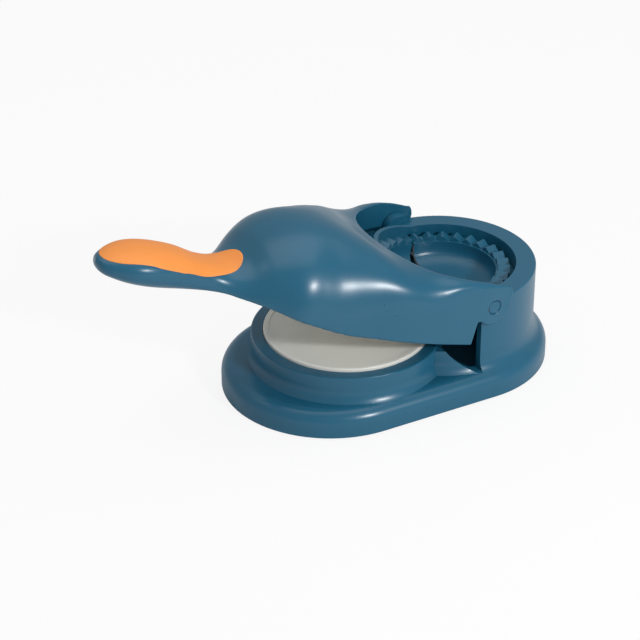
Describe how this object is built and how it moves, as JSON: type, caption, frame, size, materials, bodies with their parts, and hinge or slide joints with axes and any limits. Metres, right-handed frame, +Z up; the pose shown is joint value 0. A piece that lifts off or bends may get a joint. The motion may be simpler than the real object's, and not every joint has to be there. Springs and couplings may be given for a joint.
{
  "type": "empanada press",
  "caption": "Two-in-one dough press: round press plate in front, pleating half-moon mould in the rear tower, and one hinged domed lever with a long handle.",
  "frame": {"origin": "on the table under the middle of the round press plate, at the sole of the centre foot", "axes": "+X from the press plate to the tower, with the handle towards -X; +Y to the left as seen from the handle; +Z up"},
  "size_m": [0.2552, 0.115, 0.1104],
  "materials": {
    "blue_plastic": "satin",
    "dark_plastic": "satin",
    "cream_plastic": "satin",
    "orange_plastic": "satin",
    "rubber": "matte",
    "screw_steel": "plain"
  },
  "bodies": {
    "base": {"base_shell": "blue_plastic", "bottom_cover": "dark_plastic", "bottom_cover_screws": "screw_steel", "foot_pads": "rubber", "centre_foot": "rubber", "press_plate": "cream_plastic", "press_plate_screws": "screw_steel", "rear_mould": "blue_plastic", "rear_mould_screws": "screw_steel"},
    "lever": {"lever_shell": "blue_plastic", "lever_cover": "dark_plastic", "lever_cover_screws": "screw_steel", "press_disc": "cream_plastic", "front_mould": "blue_plastic", "front_mould_screws": "screw_steel", "handle_cover": "blue_plastic", "handle_cover_screws": "screw_steel", "grip_inlay": "orange_plastic", "hinge_pin_left": "blue_plastic", "hinge_pin_right": "blue_plastic"}
  },
  "joints": [
    {"name": "lever_hinge", "type": "hinge", "parent": "base", "child": "lever", "pos_m": [0.058, 0, 0.052], "axis": [0, 1, 0], "range_deg": [-16.8, 163.2]}
  ]
}
